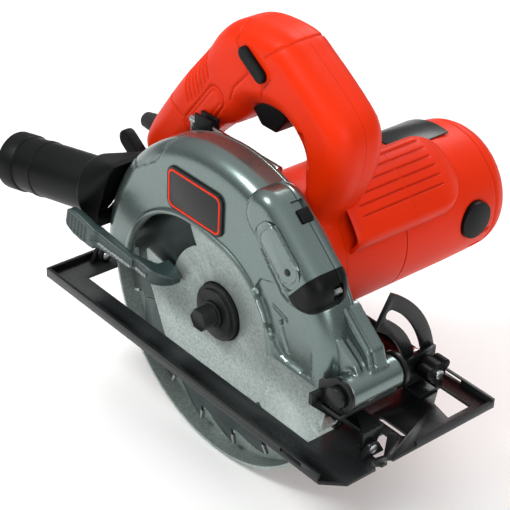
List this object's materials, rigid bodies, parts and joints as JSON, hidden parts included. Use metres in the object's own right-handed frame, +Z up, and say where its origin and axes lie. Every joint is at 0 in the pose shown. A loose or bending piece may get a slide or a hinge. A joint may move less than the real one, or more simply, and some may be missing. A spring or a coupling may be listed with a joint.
{
  "type": "circular saw",
  "caption": "Corded hand-held circular saw with a tilting sole, depth adjustment, sprung lower guard, geared motor, loop handle, dust outlet and line laser.",
  "frame": {"origin": "on the sole's lower face, in the blade's plane, directly below the arbor at full depth", "axes": "+X along the cut, +Y from the blade towards the motor, +Z up from the sole"},
  "size_m": [0.3421, 0.237, 0.2769],
  "materials": {
    "black_steel": "satin black stove enamel",
    "zinc_steel": "zinc plated",
    "black_plastic": "fine moulded texture",
    "silver_paint": "satin metallic grey",
    "badge": "plain black plate with an orange border",
    "cast_aluminium": "die cast",
    "orange_plastic": "satin moulded plastic",
    "label": "plain film label without text",
    "laminations": "stacked sheet",
    "copper": "enamelled winding",
    "bearing_steel": "ground",
    "bronze": "sintered",
    "carbon": "pressed carbon",
    "black_rubber": "matte",
    "gloss_black": "gloss",
    "lens": "clear",
    "blade_steel": "dark coated steel",
    "black_oxide": "black oxide",
    "blasted_aluminium": "sand blasted",
    "lever_plastic": "dark grey green"
  },
  "bodies": {
    "base": {"base_plate": "black_steel", "bevel_quadrant": "black_steel", "base_hinge_ears": "black_steel", "bevel_hinge_pins": "zinc_steel"},
    "tilt_frame": {"tilt_bracket": "black_steel", "depth_pivot_pin": "black_steel", "rear_bracket": "black_steel", "depth_arm": "zinc_steel", "bevel_bolt": "zinc_steel"},
    "lock_knob": {"bevel_lock_knob": "black_plastic"},
    "saw_body": {"upper_guard": "silver_paint", "guard_back_plate": "silver_paint", "guard_screws": "zinc_steel", "dust_hood": "black_plastic", "dust_port": "black_plastic", "badge_plate": "badge", "gear_case": "cast_aluminium", "handle_shell_left": "orange_plastic", "handle_shell_right": "orange_plastic", "motor_end_housing": "orange_plastic", "rating_plate": "label", "stator": "laminations", "field_coils": "copper", "front_bearing": "bearing_steel", "rear_bearing": "bearing_steel", "spindle_bearing": "bearing_steel", "spindle_bush": "bronze", "brush_holders": "bronze", "carbon_brushes": "carbon", "brush_caps": "black_plastic", "switch_module": "black_plastic", "key_clip": "black_plastic", "cord_gland": "black_rubber", "laser_housing": "silver_paint", "laser_cover": "silver_paint", "laser_cover_screw": "zinc_steel", "laser_module": "gloss_black", "laser_lens": "lens", "laser_batteries": "zinc_steel", "housing_screws": "zinc_steel", "guard_spring": "bearing_steel"},
    "key": {"blade_key": "zinc_steel"},
    "laser_switch": {"laser_switch": "black_plastic"},
    "trigger": {"trigger": "black_plastic"},
    "lock_off": {"lock_off_button": "black_plastic"},
    "spindle_lock": {"spindle_lock_button": "black_plastic"},
    "depth_lock": {"depth_lock_lever": "black_plastic"},
    "spindle": {"output_spindle": "bearing_steel", "output_gear": "bearing_steel", "inner_flange": "bearing_steel", "saw_blade": "blade_steel", "outer_flange": "black_oxide", "blade_bolt": "black_oxide"},
    "armature": {"armature_shaft": "bearing_steel", "armature_core": "laminations", "commutator": "copper", "cooling_fan": "black_plastic"},
    "lower_guard": {"lower_guard": "blasted_aluminium", "guard_lever": "lever_plastic"}
  },
  "joints": [
    {"name": "bevel_tilt", "type": "hinge", "parent": "base", "child": "tilt_frame", "pos_m": [0, 0, 0.007], "axis": [1, 0, 0], "range_deg": [0, 45]},
    {"name": "depth_swing", "type": "hinge", "parent": "tilt_frame", "child": "saw_body", "pos_m": [0.1195, 0, 0.041], "axis": [0, 1, 0], "range_deg": [0, 28]},
    {"name": "bevel_knob_turn", "type": "hinge", "parent": "tilt_frame", "child": "lock_knob", "pos_m": [0.1063, 0.06844, 0.01907], "axis": [1, 0, 0], "range_deg": [0, 180]},
    {"name": "guard_swing", "type": "hinge", "parent": "saw_body", "child": "lower_guard", "pos_m": [0, 0, 0.029], "axis": [0, 1, 0], "range_deg": [0, 140], "stiffness_Nm_per_rad": 0.2, "springref_deg": -57.3},
    {"name": "spindle_spin", "type": "hinge", "parent": "saw_body", "child": "spindle", "pos_m": [0, 0, 0.029], "axis": [0, 1, 0], "continuous": true},
    {"name": "armature_spin", "type": "hinge", "parent": "saw_body", "child": "armature", "pos_m": [0.00897, 0, 0.062], "axis": [0, 1, 0], "continuous": true},
    {"name": "trigger_pull", "type": "hinge", "parent": "saw_body", "child": "trigger", "pos_m": [0.00397, 0.05, 0.158], "axis": [0, 1, 0], "range_deg": [0, 6], "stiffness_Nm_per_rad": 2, "springref_deg": -8.59},
    {"name": "lock_off_push", "type": "slide", "parent": "saw_body", "child": "lock_off", "axis": [0, 1, 0], "range_m": [-0.003, 0.003], "stiffness_N_per_m": 400},
    {"name": "spindle_lock_push", "type": "slide", "parent": "saw_body", "child": "spindle_lock", "axis": [0.9063, 0, 0.4226], "range_m": [0, 0.0018], "stiffness_N_per_m": 800, "springref_m": -0.001},
    {"name": "depth_lock_turn", "type": "hinge", "parent": "saw_body", "child": "depth_lock", "pos_m": [-0.05507, 0, 0.02879], "axis": [0, 1, 0], "range_deg": [0, 30]},
    {"name": "laser_switch_slide", "type": "slide", "parent": "saw_body", "child": "laser_switch", "axis": [-0.766, 0, 0.6428], "range_m": [0, 0.005]},
    {"name": "blade_key_pull", "type": "slide", "parent": "saw_body", "child": "key", "axis": [-1, 0, 0], "range_m": [0, 0.08]}
  ],
  "couplings": [
    {"joint": "armature_spin", "follows": "spindle_spin", "ratio": -2.5625}
  ]
}
